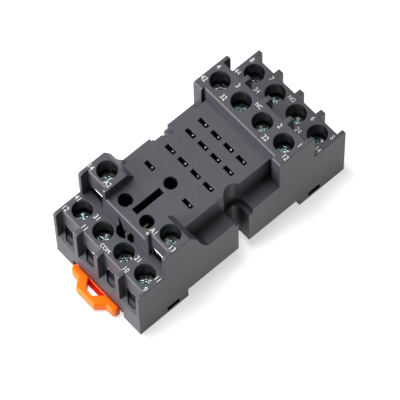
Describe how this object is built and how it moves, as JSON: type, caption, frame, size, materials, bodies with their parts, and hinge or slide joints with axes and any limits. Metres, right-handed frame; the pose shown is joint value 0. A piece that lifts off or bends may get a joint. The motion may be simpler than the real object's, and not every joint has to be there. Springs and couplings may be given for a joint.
{
  "type": "relay socket",
  "caption": "Rail-mounted socket for a plug-in relay: stepped dark moulded housing, screw terminals at both ends, raised seat with contact slots, orange sprung release clip.",
  "frame": {"origin": "middle of the underside of the whole outline, release clip included", "axes": "+X across the socket, along the rail; +Y towards the end with eight terminals, -Y towards the release clip; +Z out from the rail towards the relay"},
  "size_m": [0.03, 0.0692, 0.0288],
  "materials": {
    "clamp_steel": "zinc plated, bright",
    "clip_plastic": "moulded, satin, slightly translucent",
    "contact_brass": "rolled strip, tinned at the plate",
    "housing_plastic": "moulded, fine matt grain",
    "plated_steel": "zinc plated, blue passivated",
    "spring_steel": "rolled strip, bright"
  },
  "bodies": {
    "socket_body": {"housing": "housing_plastic", "base_cover": "housing_plastic", "contact_strip_01": "contact_brass", "contact_strip_02": "contact_brass", "contact_strip_03": "contact_brass", "contact_strip_04": "contact_brass", "contact_strip_05": "contact_brass", "contact_strip_06": "contact_brass", "contact_strip_07": "contact_brass", "contact_strip_08": "contact_brass", "contact_strip_09": "contact_brass", "contact_strip_10": "contact_brass", "contact_strip_11": "contact_brass", "contact_strip_12": "contact_brass", "contact_strip_13": "contact_brass", "contact_strip_14": "contact_brass", "clip_spring": "spring_steel"},
    "release_clip": {"rail_release_clip": "clip_plastic"},
    "clamp_01": {"clamp_plate_01": "clamp_steel"},
    "screw_01": {"terminal_screw_01": "plated_steel"},
    "clamp_02": {"clamp_plate_02": "clamp_steel"},
    "screw_02": {"terminal_screw_02": "plated_steel"},
    "clamp_03": {"clamp_plate_03": "clamp_steel"},
    "screw_03": {"terminal_screw_03": "plated_steel"},
    "clamp_04": {"clamp_plate_04": "clamp_steel"},
    "screw_04": {"terminal_screw_04": "plated_steel"},
    "clamp_05": {"clamp_plate_05": "clamp_steel"},
    "screw_05": {"terminal_screw_05": "plated_steel"},
    "clamp_06": {"clamp_plate_06": "clamp_steel"},
    "screw_06": {"terminal_screw_06": "plated_steel"},
    "clamp_07": {"clamp_plate_07": "clamp_steel"},
    "screw_07": {"terminal_screw_07": "plated_steel"},
    "clamp_08": {"clamp_plate_08": "clamp_steel"},
    "screw_08": {"terminal_screw_08": "plated_steel"},
    "clamp_09": {"clamp_plate_09": "clamp_steel"},
    "screw_09": {"terminal_screw_09": "plated_steel"},
    "clamp_10": {"clamp_plate_10": "clamp_steel"},
    "screw_10": {"terminal_screw_10": "plated_steel"},
    "clamp_11": {"clamp_plate_11": "clamp_steel"},
    "screw_11": {"terminal_screw_11": "plated_steel"},
    "clamp_12": {"clamp_plate_12": "clamp_steel"},
    "screw_12": {"terminal_screw_12": "plated_steel"},
    "clamp_13": {"clamp_plate_13": "clamp_steel"},
    "screw_13": {"terminal_screw_13": "plated_steel"},
    "clamp_14": {"clamp_plate_14": "clamp_steel"},
    "screw_14": {"terminal_screw_14": "plated_steel"}
  },
  "joints": [
    {"name": "release_clip_slide", "type": "slide", "parent": "socket_body", "child": "release_clip", "axis": [0, -1, 0], "range_m": [0, 0.003], "stiffness_N_per_m": 2000, "springref_m": -0.001, "deforming": ["clip_spring"]},
    {"name": "clamp_01_travel", "type": "slide", "parent": "socket_body", "child": "clamp_01", "axis": [0, 0, 1], "range_m": [-0.0022, 0]},
    {"name": "screw_01_turn", "type": "hinge", "parent": "clamp_01", "child": "screw_01", "pos_m": [0.01103, 0.01837, 0.01], "axis": [0, 0, 1], "range_deg": [-1585, 0]},
    {"name": "clamp_02_travel", "type": "slide", "parent": "socket_body", "child": "clamp_02", "axis": [0, 0, 1], "range_m": [-0.0022, 0]},
    {"name": "screw_02_turn", "type": "hinge", "parent": "clamp_02", "child": "screw_02", "pos_m": [0.00367, 0.01837, 0.01], "axis": [0, 0, 1], "range_deg": [-1585, 0]},
    {"name": "clamp_03_travel", "type": "slide", "parent": "socket_body", "child": "clamp_03", "axis": [0, 0, 1], "range_m": [-0.0022, 0]},
    {"name": "screw_03_turn", "type": "hinge", "parent": "clamp_03", "child": "screw_03", "pos_m": [-0.00367, 0.01837, 0.01], "axis": [0, 0, 1], "range_deg": [-1585, 0]},
    {"name": "clamp_04_travel", "type": "slide", "parent": "socket_body", "child": "clamp_04", "axis": [0, 0, 1], "range_m": [-0.0022, 0]},
    {"name": "screw_04_turn", "type": "hinge", "parent": "clamp_04", "child": "screw_04", "pos_m": [-0.01103, 0.01837, 0.01], "axis": [0, 0, 1], "range_deg": [-1585, 0]},
    {"name": "clamp_05_travel", "type": "slide", "parent": "socket_body", "child": "clamp_05", "axis": [0, 0, 1], "range_m": [-0.0022, 0]},
    {"name": "screw_05_turn", "type": "hinge", "parent": "clamp_05", "child": "screw_05", "pos_m": [0.01103, 0.02917, 0.01], "axis": [0, 0, 1], "range_deg": [-1585, 0]},
    {"name": "clamp_06_travel", "type": "slide", "parent": "socket_body", "child": "clamp_06", "axis": [0, 0, 1], "range_m": [-0.0022, 0]},
    {"name": "screw_06_turn", "type": "hinge", "parent": "clamp_06", "child": "screw_06", "pos_m": [0.00367, 0.02917, 0.01], "axis": [0, 0, 1], "range_deg": [-1585, 0]},
    {"name": "clamp_07_travel", "type": "slide", "parent": "socket_body", "child": "clamp_07", "axis": [0, 0, 1], "range_m": [-0.0022, 0]},
    {"name": "screw_07_turn", "type": "hinge", "parent": "clamp_07", "child": "screw_07", "pos_m": [-0.00367, 0.02917, 0.01], "axis": [0, 0, 1], "range_deg": [-1585, 0]},
    {"name": "clamp_08_travel", "type": "slide", "parent": "socket_body", "child": "clamp_08", "axis": [0, 0, 1], "range_m": [-0.0022, 0]},
    {"name": "screw_08_turn", "type": "hinge", "parent": "clamp_08", "child": "screw_08", "pos_m": [-0.01103, 0.02917, 0.01], "axis": [0, 0, 1], "range_deg": [-1585, 0]},
    {"name": "clamp_09_travel", "type": "slide", "parent": "socket_body", "child": "clamp_09", "axis": [0, 0, 1], "range_m": [-0.0022, 0]},
    {"name": "screw_09_turn", "type": "hinge", "parent": "clamp_09", "child": "screw_09", "pos_m": [0.01103, -0.02473, 0.01], "axis": [0, 0, 1], "range_deg": [-1585, 0]},
    {"name": "clamp_10_travel", "type": "slide", "parent": "socket_body", "child": "clamp_10", "axis": [0, 0, 1], "range_m": [-0.0022, 0]},
    {"name": "screw_10_turn", "type": "hinge", "parent": "clamp_10", "child": "screw_10", "pos_m": [0.00367, -0.02473, 0.01], "axis": [0, 0, 1], "range_deg": [-1585, 0]},
    {"name": "clamp_11_travel", "type": "slide", "parent": "socket_body", "child": "clamp_11", "axis": [0, 0, 1], "range_m": [-0.0022, 0]},
    {"name": "screw_11_turn", "type": "hinge", "parent": "clamp_11", "child": "screw_11", "pos_m": [-0.00367, -0.02473, 0.01], "axis": [0, 0, 1], "range_deg": [-1585, 0]},
    {"name": "clamp_12_travel", "type": "slide", "parent": "socket_body", "child": "clamp_12", "axis": [0, 0, 1], "range_m": [-0.0022, 0]},
    {"name": "screw_12_turn", "type": "hinge", "parent": "clamp_12", "child": "screw_12", "pos_m": [-0.01103, -0.02473, 0.01], "axis": [0, 0, 1], "range_deg": [-1585, 0]},
    {"name": "clamp_13_travel", "type": "slide", "parent": "socket_body", "child": "clamp_13", "axis": [0, 0, 1], "range_m": [-0.0022, 0]},
    {"name": "screw_13_turn", "type": "hinge", "parent": "clamp_13", "child": "screw_13", "pos_m": [0.01103, -0.01663, 0.01], "axis": [0, 0, 1], "range_deg": [-1585, 0]},
    {"name": "clamp_14_travel", "type": "slide", "parent": "socket_body", "child": "clamp_14", "axis": [0, 0, 1], "range_m": [-0.0022, 0]},
    {"name": "screw_14_turn", "type": "hinge", "parent": "clamp_14", "child": "screw_14", "pos_m": [-0.01103, -0.01663, 0.01], "axis": [0, 0, 1], "range_deg": [-1585, 0]}
  ],
  "couplings": [
    {"joint": "screw_01_turn", "follows": "clamp_01_travel", "rad_per_m": 12566},
    {"joint": "screw_02_turn", "follows": "clamp_02_travel", "rad_per_m": 12566},
    {"joint": "screw_03_turn", "follows": "clamp_03_travel", "rad_per_m": 12566},
    {"joint": "screw_04_turn", "follows": "clamp_04_travel", "rad_per_m": 12566},
    {"joint": "screw_05_turn", "follows": "clamp_05_travel", "rad_per_m": 12566},
    {"joint": "screw_06_turn", "follows": "clamp_06_travel", "rad_per_m": 12566},
    {"joint": "screw_07_turn", "follows": "clamp_07_travel", "rad_per_m": 12566},
    {"joint": "screw_08_turn", "follows": "clamp_08_travel", "rad_per_m": 12566},
    {"joint": "screw_09_turn", "follows": "clamp_09_travel", "rad_per_m": 12566},
    {"joint": "screw_10_turn", "follows": "clamp_10_travel", "rad_per_m": 12566},
    {"joint": "screw_11_turn", "follows": "clamp_11_travel", "rad_per_m": 12566},
    {"joint": "screw_12_turn", "follows": "clamp_12_travel", "rad_per_m": 12566},
    {"joint": "screw_13_turn", "follows": "clamp_13_travel", "rad_per_m": 12566},
    {"joint": "screw_14_turn", "follows": "clamp_14_travel", "rad_per_m": 12566}
  ]
}
